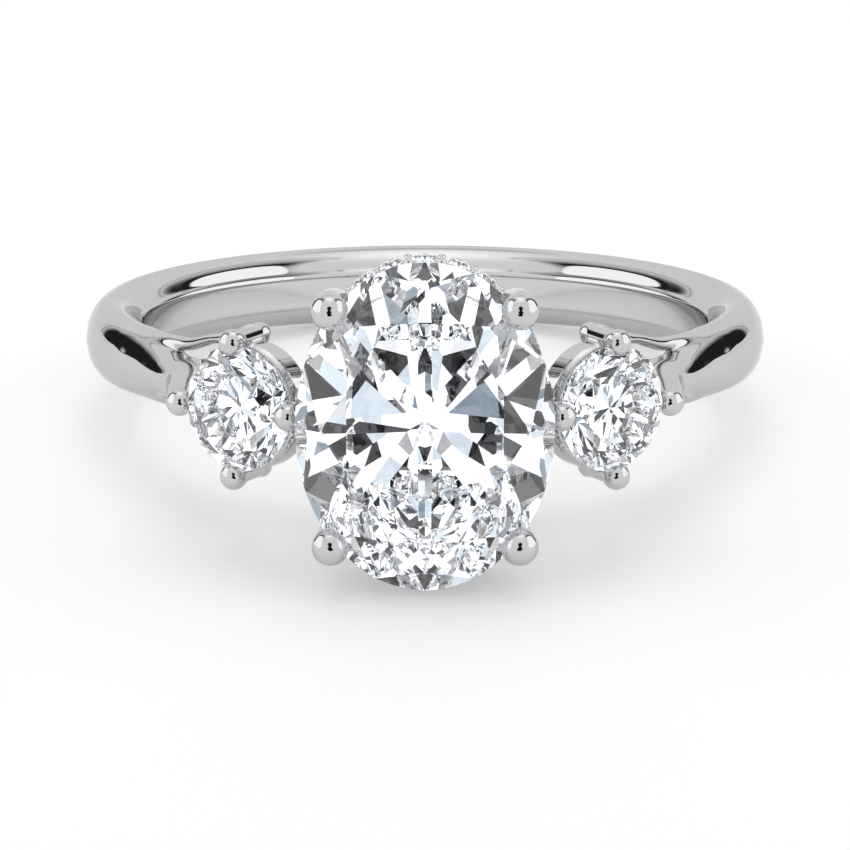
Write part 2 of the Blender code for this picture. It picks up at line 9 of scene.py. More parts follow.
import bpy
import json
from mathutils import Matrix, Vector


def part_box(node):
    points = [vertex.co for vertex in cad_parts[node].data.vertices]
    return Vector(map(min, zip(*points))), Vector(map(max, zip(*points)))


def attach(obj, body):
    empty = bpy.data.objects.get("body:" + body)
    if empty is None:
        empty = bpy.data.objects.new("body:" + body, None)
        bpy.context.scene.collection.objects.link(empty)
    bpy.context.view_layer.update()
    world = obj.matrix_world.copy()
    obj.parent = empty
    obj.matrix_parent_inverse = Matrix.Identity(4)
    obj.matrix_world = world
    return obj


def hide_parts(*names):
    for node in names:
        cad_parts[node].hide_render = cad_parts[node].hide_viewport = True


bl_info = {
    "name": "Three Stone Ring",
    "version": (1, 0, 0),
    "blender": (4, 5, 0),
    "location": "View3D > Sidebar > Ring",
    "description": "Makes the fine metal, the stones' finish and the studio of a three stone ring",
    "category": "Object",
}

import json
import math

import bpy
import numpy as np
from bpy.props import FloatProperty, FloatVectorProperty, PointerProperty
from bpy.types import Operator, Panel, PropertyGroup
from mathutils import Matrix, Vector

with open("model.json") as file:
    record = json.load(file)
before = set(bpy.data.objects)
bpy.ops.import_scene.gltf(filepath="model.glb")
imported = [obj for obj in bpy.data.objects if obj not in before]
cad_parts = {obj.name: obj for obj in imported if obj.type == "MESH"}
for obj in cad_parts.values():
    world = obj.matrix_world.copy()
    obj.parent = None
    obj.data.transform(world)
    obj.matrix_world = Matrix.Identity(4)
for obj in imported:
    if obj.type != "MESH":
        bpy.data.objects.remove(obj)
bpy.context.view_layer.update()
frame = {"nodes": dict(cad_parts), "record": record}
MM = 0.001

# Finger hole and band
BORE_RADIUS = 8.17
BORE_FLATS = 56
BAND_THICKNESS = 1.69
BAND_HALF_WIDTH = 1.19
BRIDGE_THICKNESS = 1.00
BRIDGE_HALF_WIDTH = 0.34

# Centre stone and its prongs
CENTRE_HALF_X = 3.36
CENTRE_HALF_Z = 4.32
CENTRE_GIRDLE_HEIGHT = 13.88
CENTRE_BALL_RADIUS = 0.488
CENTRE_BALL_RISE = 0.35
CENTRE_BALL_OUT = 0.08
CENTRE_SHAFT_RADIUS = 0.36
PRONG_TURN = math.radians(44.6)

# Side stones, their prongs and collars
SIDE_RADIUS = 1.68
SIDE_LEAN = math.radians(34.85)
SIDE_GAP = 0.205
SIDE_DROP = 2.51
SIDE_OFFSET = CENTRE_HALF_X + SIDE_GAP + SIDE_RADIUS * math.cos(SIDE_LEAN)
SIDE_GIRDLE_HEIGHT = CENTRE_GIRDLE_HEIGHT - SIDE_DROP
SIDE_BALL_RADIUS = 0.37
SIDE_BALL_RISE = 0.20
SIDE_BALL_OUT = 0.11
SIDE_BALL_REACH = SIDE_RADIUS + SIDE_BALL_OUT
SIDE_SHAFT_RADIUS = 0.27
SIDE_FOOT_GROWTH = 1.3
COLLAR_GAP = 0.03
COLLAR_RADIUS = SIDE_RADIUS + COLLAR_GAP
COLLAR_WALL = 0.32
COLLAR_TOP = 0.24
COLLAR_HEIGHT = 0.84
ELBOW_OUT = 0.12
ELBOW = (-0.24, 1.30, SIDE_RADIUS + ELBOW_OUT)

# Hidden halo. Two neighbours that stand further apart than HALO_GAP usual steps leave room for a prong.
HALO_INSET = 0.18
HALO_HALF_X = CENTRE_HALF_X - HALO_INSET
HALO_HALF_Z = CENTRE_HALF_Z - HALO_INSET
HALO_TOP = 1.19
HALO_HEIGHT = 0.86
HALO_WALL = 0.62
HALO_BEAD_PLACE = 0.36
HALO_GAP = 1.6

STONE_CLEARANCE = 0.04

# The shoulders' fillet, which grows towards the root of their limbs: degrees from the head, the fillet
SHOULDER_FILLET = ((48, 0.10), (54, 0.20), (60, 0.16), (67, 0.03))

# Softened edges of the collars, the rail and the stones' seats
COLLAR_EDGE = 0.05
RAIL_EDGE = 0.04
SEAT_EDGE = 0.02

# Where the shoulders are polished smooth by hand: degrees from the head, then the share of the polish.
# In each round a point goes POLISH_STEP of the way to the middle of the points round it.
POLISH = ((45, 0.0), (51, 1.0), (70, 1.0), (80, 0.0))
POLISH_ROUNDS = 28
POLISH_STEP = 0.5

# Cell of each skin, the room round it, the step that slopes are measured over, how often its points are
# drawn to the solid, how flat a slope may be for that, and from which distance on points are one
SHOULDER_CELL = 0.060
BASKET_CELL = 0.055
RAIL_CELL = 0.040
SHOULDER_ROOM = 0.6
RAIL_ROOM = 0.2
SLOPE_STEP = 0.020
DRAW_ROUNDS = 5
FLATTEST_SLOPE = 0.05
WELD = 1e-4

# How far a solid's distance is told, and how many points are worked out at a time
FAR = 0.5
BATCH = 40000
GRID_PARTS = 12

# Steps along a bar between two rows, and of the band's section, growth and half turn
BAR_STEPS = 20
SECTION_STEPS = 8
GROWTH_STEPS = 12
BAND_RINGS = 161

# Band section, from the middle of the bore round to the top of the dome: the depth from the bore as a
# share of the thickness, and the place across as a share of the half width.
BAND_SECTION = (
    (0.000, 0.00),
    (0.000, 0.16),
    (0.001, 0.30),
    (0.006, 0.38),
    (0.020, 0.43),
    (0.068, 0.497),
    (0.078, 0.510),
    (0.220, 0.76),
    (0.400, 0.94),
    (0.580, 0.98),
    (0.780, 0.83),
    (0.940, 0.47),
    (1.000, 0.00),
)

# How the band grows from the bridge under the stones: degrees from the head, then the share of the
# way from the bridge's thickness to the band's, and the same for the half width.
BAND_GROWTH = (
    (0, 0.00, 0.00),
    (25, 0.00, 0.00),
    (49, 0.00, 0.00),
    (54, 0.45, 0.25),
    (59, 0.85, 0.70),
    (66, 1.00, 0.83),
    (90, 1.00, 0.93),
    (135, 1.00, 0.98),
    (180, 1.00, 1.00),
    (225, 1.00, 0.98),
)

# Upper limb of a shoulder: degrees from the head, height over the bore as a share of the band's
# thickness, place across as a share of the side stone's radius, then the bar's half depth and half
# width as shares of the side prong's shaft radius. It ends in the elbow under the prong.
UPPER_LIMB = (
    (70, 0.44, 0.28, 1.50, 1.10),
    (65, 0.44, 0.34, 1.50, 1.10),
    (58, 0.50, 0.42, 1.40, 1.05),
    (51, 0.56, 0.475, 1.20, 0.85),
    (44, 0.64, 0.525, 1.00, 0.66),
    (37, 0.85, 0.706, 0.90, 0.53),
    (32, 1.09, 0.82, 0.90, 0.55),
    (27.8, 1.15, 0.981, 0.90, 0.67),
)

# Middle limb of a shoulder: degrees from the head, height over the bore and half depth as shares of
# the band's thickness, half width as a share of the band's half width. It ends in the outer prong.
MIDDLE_LIMB = (
    (72, 0.50, 0.46, 0.76),
    (62, 0.53, 0.46, 0.78),
    (53, 0.64, 0.45, 0.71),
    (45, 0.90, 0.41, 0.51),
    (39, 1.31, 0.33, 0.50),
    (35, 1.92, 0.24, 0.36),
)

# Section of a side stone's collar: how far in, as a share of its wall, and how far down its height.
COLLAR_SECTION = ((0.00, 0.16), (0.00, 0.88), (-0.25, 1.00), (-1.00, 1.00), (-1.00, 0.00), (-0.30, 0.00))

# Shaft of a centre prong: depth under the girdle as a share of the way down to the bridge, and how
# far out it is as a share of the ball's place along x and z.
CENTRE_SHAFT = (
    (0.00, 1.00, 1.00),
    (0.12, 1.01, 1.01),
    (0.36, 0.96, 0.96),
    (0.50, 0.88, 0.88),
    (0.66, 0.68, 0.64),
    (0.84, 0.42, 0.34),
    (1.02, 0.22, 0.13),
)

# Shaft of the side prong next to the centre stone: depth under the girdle as a share of the way to the
# bridge's foot, and how far out it is as a share of its ball's reach.
INNER_SHAFT = (
    (-0.03, 1.00),
    (0.07, 0.985),
    (0.16, 0.94),
    (0.40, 0.84),
    (0.73, 0.62),
    (1.18, 0.26),
)


# Smooth tables and routes

def smooth_rows(rows, steps):
    """Rows of numbers along a curve that passes smoothly through the given ones."""
    rows = np.array(rows, float)
    ends = np.vstack([2 * rows[0] - rows[1], rows, 2 * rows[-1] - rows[-2]])
    share = (np.arange(steps) / steps)[:, None]
    runs = []
    for before, start, end, after in zip(ends, ends[1:], ends[2:], ends[3:]):
        runs.append(0.5 * (2 * start + (end - before) * share
                           + (2 * before - 5 * start + 4 * end - after) * share ** 2
                           + (3 * start - before - 3 * end + after) * share ** 3))
    return np.vstack([*runs, rows[-1:]])


def around_finger(degrees, radius, z):
    """A point at this angle from the head on the ring's right side."""
    angle = math.radians(degrees)
    return np.array([radius * math.sin(angle), -radius * math.cos(angle), z])


def unit(vectors):
    return vectors / np.linalg.norm(vectors, axis=-1, keepdims=True)


def side_point(inwards, deeper, z):
    """A point given in the right side head's own frame, which starts at the middle of its girdle."""
    return np.array([
        SIDE_OFFSET - math.cos(SIDE_LEAN) * inwards - math.sin(SIDE_LEAN) * deeper,
        -SIDE_GIRDLE_HEIGHT - math.sin(SIDE_LEAN) * inwards + math.cos(SIDE_LEAN) * deeper,
        z,
    ])


def band_outline():
    """The band's section as a closed run of (depth share, across share)."""
    half = smooth_rows(BAND_SECTION, SECTION_STEPS)
    return np.vstack([half, half[-2:0:-1] * (1, -1)])


BAND_SIZES = smooth_rows(BAND_GROWTH, GROWTH_STEPS)


def band_size(degrees):
    """The band's thickness and half width at these angles from the head."""
    thicker = np.interp(degrees, BAND_SIZES[:, 0], BAND_SIZES[:, 1])
    wider = np.interp(degrees, BAND_SIZES[:, 0], BAND_SIZES[:, 2])
    return (BRIDGE_THICKNESS + (BAND_THICKNESS - BRIDGE_THICKNESS) * thicker,
            BRIDGE_HALF_WIDTH + (BAND_HALF_WIDTH - BRIDGE_HALF_WIDTH) * wider)


# Solids, each a signed distance that is told in full only near the solid

def outline_distance(points, outline):
    """Signed distance from points of a plane to a closed outline."""
    nearest = np.full(len(points), np.inf)
    inside = np.zeros(len(points), bool)
    for start, end in zip(outline, np.roll(outline, -1, axis=0)):
        edge = end - start
        offset = points - start
        along = np.clip(offset @ edge / max(edge @ edge, 1e-12), 0, 1)
        nearest = np.minimum(nearest, np.sum((offset - along[:, None] * edge) ** 2, axis=1))
        spans = (start[1] > points[:, 1]) != (end[1] > points[:, 1])
        if edge[1]:
            inside ^= spans & (offset[:, 0] < edge[0] * offset[:, 1] / edge[1])
    return np.where(inside, -1, 1) * np.sqrt(nearest)


def fuse(first, second, fillet):
    """Two solids as one, with a fillet between them."""
    reach = np.maximum(fillet - np.abs(first - second), 0) / fillet
    return np.minimum(first, second) - reach * reach * fillet / 4


def shoulder_fillet(points):
    """The fillet that a shoulder's limbs have at some points."""
    degrees = np.degrees(np.arctan2(np.abs(points[:, 0]), -points[:, 1]))
    return np.interp(degrees, *zip(*SHOULDER_FILLET))


def cut(solid, cutter):
    """A solid less a cutter, with a softened edge."""
    return -fuse(-solid, cutter, SEAT_EDGE)


class Solid:
    """A solid in its box. Outside the box it only tells that it is far away."""

    def __init__(self, low, high):
        self.low = np.array(low, float) - FAR
        self.high = np.array(high, float) + FAR

    def __call__(self, points):
        near = np.all((points > self.low) & (points < self.high), axis=1)
        distance = np.full(len(points), FAR)
        if near.any():
            distance[near] = np.minimum(self.distance(points[near]), FAR)
        return distance


class Ball(Solid):
    def __init__(self, centre, radius):
        super().__init__(centre - radius, centre + radius)
        self.centre, self.radius = centre, radius

    def distance(self, points):
        return np.linalg.norm(points - self.centre, axis=1) - self.radius


class Bar(Solid):
    """A bar of oval section along a smooth route. A row holds a point of the route, then the half size
    square to the hole's axis and the half size along it. Its ends are round."""

    def __init__(self, rows):
        rows = smooth_rows([np.hstack(row) for row in rows], BAR_STEPS)
        self.route, self.sizes = rows[:, :3], rows[:, 3:]
        widest = self.sizes.max()
        super().__init__(self.route.min(0) - widest, self.route.max(0) + widest)
        self.ahead = unit(np.gradient(self.route, axis=0))
        self.deep = unit(np.cross(self.ahead, (0.0, 0.0, 1.0)))
        self.wide = np.cross(self.deep, self.ahead)
        self.length = np.linalg.norm(np.gradient(self.route, axis=0), axis=1)

    def distance(self, points):
        result = np.empty(len(points))
        for first in range(0, len(points), BATCH):
            result[first:first + BATCH] = self.near_distance(points[first:first + BATCH])
        return result

    def near_distance(self, points):
        squares = np.sum(self.route ** 2, axis=1) - 2 * points @ self.route.T
        nearest = np.argmin(squares, axis=1)
        offset = points - self.route[nearest]
        place = nearest + np.sum(offset * self.ahead[nearest], axis=1) / self.length[nearest]
        last = len(self.route) - 1
        held = np.clip(place, 0, last)
        below = np.minimum(held.astype(int), last - 1)
        share = (held - below)[:, None]

        def between(values):
            return values[below] * (1 - share) + values[below + 1] * share

        offset = points - between(self.route)
        deep, wide = between(self.sizes).T
        across = np.sum(offset * between(self.deep), axis=1)
        along = np.sum(offset * between(self.wide), axis=1)
        ratio = np.hypot(across / deep, along / wide)
        slope = np.hypot(across / deep ** 2, along / wide ** 2) + 1e-9
        distance = (ratio - 1) * ratio / slope
        past = np.abs(place - held) * self.length[nearest]
        middle = np.minimum(deep, wide)
        return np.where(past > 1e-6, np.hypot(np.maximum(distance + middle, 0), past) - middle, distance)


class Collar(Solid):
    """The round collar of the right side stone, turned about that stone's axis."""

    def __init__(self):
        reach = COLLAR_RADIUS + COLLAR_WALL
        middle = side_point(0, COLLAR_TOP + COLLAR_HEIGHT / 2, 0)
        super().__init__(middle - reach, middle + reach)
        section = [(COLLAR_RADIUS + inwards * COLLAR_WALL, COLLAR_TOP + down * COLLAR_HEIGHT)
                   for inwards, down in COLLAR_SECTION]
        self.middle = np.mean(section, axis=0)
        shrink = 1 - 2 * COLLAR_EDGE / np.ptp(section, axis=0)
        self.section = self.middle + (section - self.middle) * shrink

    def distance(self, points):
        offset = points - side_point(0, 0, 0)
        inwards = side_point(1, 0, 0) - side_point(0, 0, 0)
        deeper = side_point(0, 1, 0) - side_point(0, 0, 0)
        radius = np.hypot(offset @ inwards, offset[:, 2])
        return outline_distance(np.c_[radius, offset @ deeper], self.section) - COLLAR_EDGE


class HaloRail(Solid):
    """The oval rail of the hidden halo: an upright wall inside an oval edge."""

    def __init__(self):
        top = HALO_TOP - CENTRE_GIRDLE_HEIGHT
        super().__init__((-HALO_HALF_X, top, -HALO_HALF_Z), (HALO_HALF_X, top + HALO_HEIGHT, HALO_HALF_Z))

    def distance(self, points):
        turn = np.arctan2(points[:, 2] / HALO_HALF_Z, points[:, 0] / HALO_HALF_X)
        for _ in range(6):
            near_x = HALO_HALF_X * np.cos(turn)
            near_z = HALO_HALF_Z * np.sin(turn)
            run_x = -HALO_HALF_X * np.sin(turn)
            run_z = HALO_HALF_Z * np.cos(turn)
            behind = (points[:, 0] - near_x) * run_x + (points[:, 2] - near_z) * run_z
            bend = (points[:, 0] - near_x) * near_x + (points[:, 2] - near_z) * near_z
            turn = turn + behind / (run_x ** 2 + run_z ** 2 + bend)
        out = unit(np.c_[np.cos(turn) / HALO_HALF_X, np.sin(turn) / HALO_HALF_Z])
        outwards = ((points[:, 0] - HALO_HALF_X * np.cos(turn)) * out[:, 0]
                    + (points[:, 2] - HALO_HALF_Z * np.sin(turn)) * out[:, 1])
        deeper = points[:, 1] + CENTRE_GIRDLE_HEIGHT - HALO_TOP
        wall = np.abs(outwards + HALO_WALL / 2) - HALO_WALL / 2 + RAIL_EDGE
        height = np.abs(deeper - HALO_HEIGHT / 2) - HALO_HEIGHT / 2 + RAIL_EDGE
        outside = np.hypot(np.maximum(wall, 0), np.maximum(height, 0))
        return outside + np.minimum(np.maximum(wall, height), 0) - RAIL_EDGE


class Band(Solid):
    """The band with its bridge. Its section's distances are worked out once, on a fine sheet."""

    SHEET = 0.02

    def __init__(self):
        reach = BORE_RADIUS + BAND_THICKNESS
        super().__init__((-reach, -reach, -BAND_HALF_WIDTH), (reach, reach, BAND_HALF_WIDTH))
        outline = band_outline() * (BAND_THICKNESS, BAND_HALF_WIDTH)
        self.start = np.array([-1.2, 0.0])
        self.depths = np.arange(self.start[0], BAND_THICKNESS + 1.2, self.SHEET)
        self.places = np.arange(0.0, BAND_HALF_WIDTH * 3.4, self.SHEET)
        grid = np.stack(np.meshgrid(self.depths, self.places, indexing="ij"), axis=-1)
        self.sheet = outline_distance(grid.reshape(-1, 2), outline).reshape(grid.shape[:2])

    def distance(self, points):
        radius = np.hypot(points[:, 0], points[:, 1])
        degrees = np.degrees(np.arctan2(np.abs(points[:, 0]), -points[:, 1]))
        thickness, half_width = band_size(degrees)
        deep_scale = thickness / BAND_THICKNESS
        wide_scale = half_width / BAND_HALF_WIDTH
        deep = (radius - BORE_RADIUS) / deep_scale
        wide = np.abs(points[:, 2]) / wide_scale
        row = np.clip((deep - self.start[0]) / self.SHEET, 0, len(self.depths) - 1.001)
        column = np.clip(wide / self.SHEET, 0, len(self.places) - 1.001)
        at_row, at_column = row.astype(int), column.astype(int)
        row, column = row - at_row, column - at_column
        sheet = self.sheet
        near = sheet[at_row, at_column] * (1 - column) + sheet[at_row, at_column + 1] * column
        far = sheet[at_row + 1, at_column] * (1 - column) + sheet[at_row + 1, at_column + 1] * column
        return (near * (1 - row) + far * row) * np.minimum(deep_scale, wide_scale)


class StoneSeat(Solid):
    """The room that a cut stone takes in the metal: the stone's own facets, moved out by the clearance."""

    def __init__(self, node, pose):
        mesh = frame["nodes"][node].data
        back = pose.inverted()
        corners = np.array([back @ vertex.co for vertex in mesh.vertices]) / MM
        faces = [polygon for polygon in mesh.polygons if polygon.area > 0]
        turned = back.to_3x3()
        self.facing = np.array([(turned @ face.normal).normalized() for face in faces])
        self.level = np.sum(self.facing * [corners[face.vertices[0]] for face in faces], axis=1)
        super().__init__(corners.min(0), corners.max(0))

    def distance(self, points):
        return np.max(points @ self.facing.T - self.level, axis=1) - STONE_CLEARANCE


# Skin

def slopes(field, points, step):
    """The field's value and slope at some points, from four readings round each."""
    corners = np.array([(1, 1, 1), (1, -1, -1), (-1, 1, -1), (-1, -1, 1)], float)
    readings = [field(points + corner * step) for corner in corners]
    slope = sum(reading[:, None] * corner for reading, corner in zip(readings, corners)) / (4 * step)
    return sum(readings) / 4, slope


def skin(field, low, high, cell):
    """A fine skin of four-sided faces over a solid, in the quarter where x and z are positive. A skin
    that reaches y = 0 ends there. Returns its points, faces and directions outwards."""
    half = cell / 2
    high_y = half if high[1] >= 0 else high[1]
    axes = [np.arange(-half, high[0] + cell, cell),
            np.arange(high_y, low[1] - cell, -cell)[::-1],
            np.arange(-half, high[2] + cell, cell)]
    grid = np.stack(np.meshgrid(*axes, indexing="ij"), axis=-1)
    shape = grid.shape[:3]
    values = np.concatenate([field(part) for part in np.array_split(grid.reshape(-1, 3), GRID_PARTS)])
    filled = values.reshape(shape) < 0
    count = sum(filled[i:shape[0] - 1 + i, j:shape[1] - 1 + j, k:shape[2] - 1 + k].astype(np.int8)
                for i in (0, 1) for j in (0, 1) for k in (0, 1))
    cells = np.argwhere((count > 0) & (count < 8))
    number = np.full(count.shape, -1)
    number[tuple(cells.T)] = np.arange(len(cells))
    corner = np.array([axis[0] for axis in axes])
    points = corner + (cells + 0.5) * cell
    held = np.c_[cells[:, 0] == 0,
                 (cells[:, 1] == count.shape[1] - 1) & (high[1] >= 0),
                 cells[:, 2] == 0]
    for _ in range(DRAW_ROUNDS):
        value, slope = slopes(field, points, SLOPE_STEP)
        slope[held] = 0
        step = -value[:, None] * slope / (np.sum(slope ** 2, axis=1) + FLATTEST_SLOPE)[:, None]
        size = np.linalg.norm(step, axis=1, keepdims=True)
        points = points + step * np.minimum(1, cell / np.maximum(size, 1e-9))
    _, slope = slopes(field, points, SLOPE_STEP)
    slope[held] = 0
    faces = []
    for axis in range(3):
        first, second = (axis + 1) % 3, (axis + 2) % 3
        crossing = np.diff(filled.astype(np.int8), axis=axis)
        at = np.argwhere(crossing != 0)
        inner = (at[:, first] > 0) & (at[:, second] > 0)
        inner &= (at[:, first] < count.shape[first]) & (at[:, second] < count.shape[second])
        at = at[inner]
        inner = at[:, axis] > 0 if axis != 1 else np.full(len(at), True)
        at = at[inner]
        turn = crossing[tuple(at.T)] > 0
        around = []
        for back, aside in ((1, 1), (0, 1), (0, 0), (1, 0)):
            place = at.copy()
            place[:, first] -= back
            place[:, second] -= aside
            around.append(number[tuple(place.T)])
        around = np.stack(around, axis=1)
        around[turn] = around[turn][:, ::-1]
        faces.append(around)
    faces = np.vstack(faces)
    return points, faces[(faces >= 0).all(axis=1)], unit(slope + 1e-12)


def mirrored(skinned, signs):
    """Copies of a skin, each turned over by its signs for x, y and z, joined where they meet."""
    points, faces, outwards = skinned
    all_points, all_faces, all_outwards = [], [], []
    for sign in signs:
        flip = np.array(sign, float)
        all_points.append(points * flip)
        all_outwards.append(outwards * flip)
        turned = faces if np.prod(flip) > 0 else faces[:, ::-1]
        all_faces.append(turned + len(points) * len(all_faces))
    points = np.vstack(all_points)
    keys = np.round(points / WELD).astype(np.int64)
    _, first, same = np.unique(keys, axis=0, return_index=True, return_inverse=True)
    faces = same.reshape(-1)[np.vstack(all_faces)]
    whole = np.all(np.diff(np.sort(faces, axis=1), axis=1) > 0, axis=1)
    return points[first], faces[whole], np.vstack(all_outwards)[first]


def polished(skinned):
    """A skin with its shoulders evened out: points move towards the middle of the points round them."""
    points, faces, outwards = skinned
    degrees = np.degrees(np.arctan2(np.abs(points[:, 0]), -points[:, 1]))
    share = np.interp(degrees, *zip(*POLISH))[:, None]
    edges = np.vstack([faces[:, (i, (i + 1) % 4)] for i in range(4)])
    edges = np.unique(np.sort(edges, axis=1), axis=0)
    ends = np.concatenate([edges[:, 0], edges[:, 1]])
    others = np.concatenate([edges[:, 1], edges[:, 0]])
    joined = np.maximum(np.bincount(ends, minlength=len(points)), 1)
    values = np.hstack([points, outwards])
    for _ in range(POLISH_ROUNDS):
        around = np.stack([np.bincount(ends, column[others], len(points)) for column in values.T], axis=1)
        values = values + share * (around / joined[:, None] - values) * POLISH_STEP
    return values[:, :3], faces, unit(values[:, 3:])


def add_piece(name, skinned, material):
    """An object from a skin, laid down in the ring's resting pose and riding on the frame."""
    points, faces, outwards = skinned
    if not len(faces):
        raise RuntimeError(f"{name} has no faces")
    pose = np.array(resting_pose())
    mesh = bpy.data.meshes.new(name)
    mesh.from_pydata(points * MM @ pose[:3, :3].T + pose[:3, 3], [], faces)
    mesh.update()
    mesh.shade_smooth()
    if outwards is not None:
        mesh.normals_split_custom_set_from_vertices(outwards @ pose[:3, :3].T)
    mesh.materials.append(material)
    piece = bpy.data.objects.new(name, mesh)
    bpy.context.scene.collection.objects.link(piece)
    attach(piece, "root")
    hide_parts("ring_mount")


def resting_pose():
    """How the ring lies, from the frame's mount at the back of the bore, whose face is one flat of it."""
    mount = frame["record"]["mounts"][0]
    facing = Vector(mount["axis"])
    centre = Vector(mount["pos_m"]) + facing * BORE_RADIUS * MM * math.cos(math.pi / BORE_FLATS)
    return Matrix.Translation(centre) @ Matrix.Rotation(-math.atan2(facing.z, -facing.y), 4, "X")


# The metal's parts, in the right upper quarter

def side_ball(inwards, z):
    """The middle of a side prong's ball, in the ring's frame."""
    return side_point(inwards, -SIDE_BALL_RISE, z)


def shoulder_parts(form):
    """The bars and balls of a shoulder and its side basket, with the fillet that joins each."""
    upper = []
    for degrees, height, across, deep, wide in UPPER_LIMB:
        point = around_finger(degrees, BORE_RADIUS + height * BAND_THICKNESS, across * SIDE_RADIUS)
        upper.append((point, deep * SIDE_SHAFT_RADIUS, wide * SIDE_SHAFT_RADIUS))
    round_shaft = (SIDE_SHAFT_RADIUS, SIDE_SHAFT_RADIUS)
    elbow = side_point(*ELBOW)
    upper.append((elbow, *round_shaft))
    middle = []
    for degrees, height, deep, wide in MIDDLE_LIMB:
        point = around_finger(degrees, BORE_RADIUS + height * BAND_THICKNESS, 0)
        middle.append((point, deep * BAND_THICKNESS, wide * BAND_HALF_WIDTH))
    outer_ball = side_ball(-SIDE_BALL_REACH, 0)
    middle.append((outer_ball, *round_shaft))
    upper_ball = side_ball(0, SIDE_BALL_REACH)
    inner_ball = side_ball(SIDE_BALL_REACH, 0)
    foot_depth = SIDE_GIRDLE_HEIGHT - BORE_RADIUS
    inner = []
    for number, (down, out) in enumerate(INNER_SHAFT):
        growth = 1 + (SIDE_FOOT_GROWTH - 1) * number / (len(INNER_SHAFT) - 1)
        radius = SIDE_SHAFT_RADIUS * growth
        inner.append((side_point(out * SIDE_BALL_REACH, down * foot_depth, 0), radius, radius))
    post = [(elbow, *round_shaft), (upper_ball, *round_shaft)]
    solder, ball = form.solder_fillet / MM, form.ball_fillet / MM
    return [
        (Bar(middle), shoulder_fillet),
        (Bar(upper), shoulder_fillet),
        (Ball(elbow, SIDE_SHAFT_RADIUS), solder),
        (Bar(post), solder),
        (Bar(inner), solder),
        (Collar(), solder),
        *((Ball(tip, SIDE_BALL_RADIUS), ball) for tip in (outer_ball, upper_ball, inner_ball)),
    ]


def solid_of(parts, seats):
    """One field: the first solid with the others fused to it, less the stones' seats."""
    def field(points):
        points = np.c_[points[:, 0], points[:, 1], np.abs(points[:, 2])]
        whole = parts[0][0](points)
        for part, fillet in parts[1:]:
            whole = fuse(whole, part(points), fillet(points) if callable(fillet) else fillet)
        for seat in seats:
            whole = cut(whole, seat(points))
        return whole
    return field


def basket_parts(form):
    """A prong of the centre basket."""
    foot_depth = CENTRE_GIRDLE_HEIGHT - BORE_RADIUS - BRIDGE_THICKNESS / 2
    ball_x = (CENTRE_HALF_X + CENTRE_BALL_OUT) * math.cos(PRONG_TURN)
    ball_z = (CENTRE_HALF_Z + CENTRE_BALL_OUT) * math.sin(PRONG_TURN)
    ball = np.array([ball_x, -CENTRE_GIRDLE_HEIGHT - CENTRE_BALL_RISE, ball_z])
    rows = [(ball, CENTRE_SHAFT_RADIUS, CENTRE_SHAFT_RADIUS)]
    for down, out_x, out_z in CENTRE_SHAFT:
        point = np.array([out_x * ball_x, down * foot_depth - CENTRE_GIRDLE_HEIGHT, out_z * ball_z])
        rows.append((point, CENTRE_SHAFT_RADIUS, CENTRE_SHAFT_RADIUS))
    return [(Bar(rows), 0), (Ball(ball, CENTRE_BALL_RADIUS), form.ball_fillet / MM)]


def halo_turns():
    """The turns of the beads beside the halo's stones, from the places of the stones in the frame."""
    back = resting_pose().inverted()
    turns = []
    for node, thing in frame["nodes"].items():
        if node.startswith("halo_stone"):
            low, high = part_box(node)
            middle = (back @ ((low + high) / 2)) / MM
            turns.append(math.atan2(middle.z / HALO_HALF_Z, middle.x / HALO_HALF_X))
    return sorted(turns)


def halo_point(turn, deeper):
    """A point on the rail's outer wall, so deep under its top."""
    return np.array([HALO_HALF_X * math.cos(turn), HALO_TOP - CENTRE_GIRDLE_HEIGHT + deeper,
                     HALO_HALF_Z * math.sin(turn)])


def halo_beads(form):
    """Two beads beside each halo stone, above and below the middle of the rail."""
    turns = halo_turns()
    steps = [after - turn for turn, after in zip(turns, turns[1:])]
    usual = sorted(steps)[len(steps) // 2]
    places = set()
    for turn, after in zip(turns, turns[1:] + [turns[0] + math.tau]):
        if after - turn < usual * HALO_GAP:
            places.add(round((turn + after) / 2, 5))
        else:
            places.update((round(turn + usual / 2, 5), round(after - usual / 2, 5)))
    radius = form.bead_radius / MM
    beads = []
    for turn in sorted(places):
        for edge in (-1, 1):
            centre = halo_point(turn, HALO_HEIGHT / 2 + edge * HALO_BEAD_PLACE * HALO_HEIGHT)
            if centre[0] > -radius and centre[2] > -radius:
                beads.append((Ball(centre, radius), form.ball_fillet / MM))
    return beads


# Shader maths

class Value:
    """A socket that can be used in an expression."""

    def __init__(self, sheet, socket):
        self.sheet, self.socket = sheet, socket

    def maths(self, operation, *others):
        return self.sheet.node("ShaderNodeMath", {"operation": operation}, [self, *others])

    def __add__(self, other):
        return self.maths("ADD", other)

    def __radd__(self, other):
        return self.maths("ADD", other)

    def __sub__(self, other):
        return self.maths("SUBTRACT", other)

    def __rsub__(self, other):
        return self.sheet.node("ShaderNodeMath", {"operation": "SUBTRACT"}, [other, self])

    def __mul__(self, other):
        return self.maths("MULTIPLY", other)

    def __rmul__(self, other):
        return self.maths("MULTIPLY", other)

    def __truediv__(self, other):
        return self.maths("DIVIDE", other)

    def __abs__(self):
        return self.maths("ABSOLUTE")

    def output(self, name):
        return Value(self.sheet, self.socket.node.outputs[name])


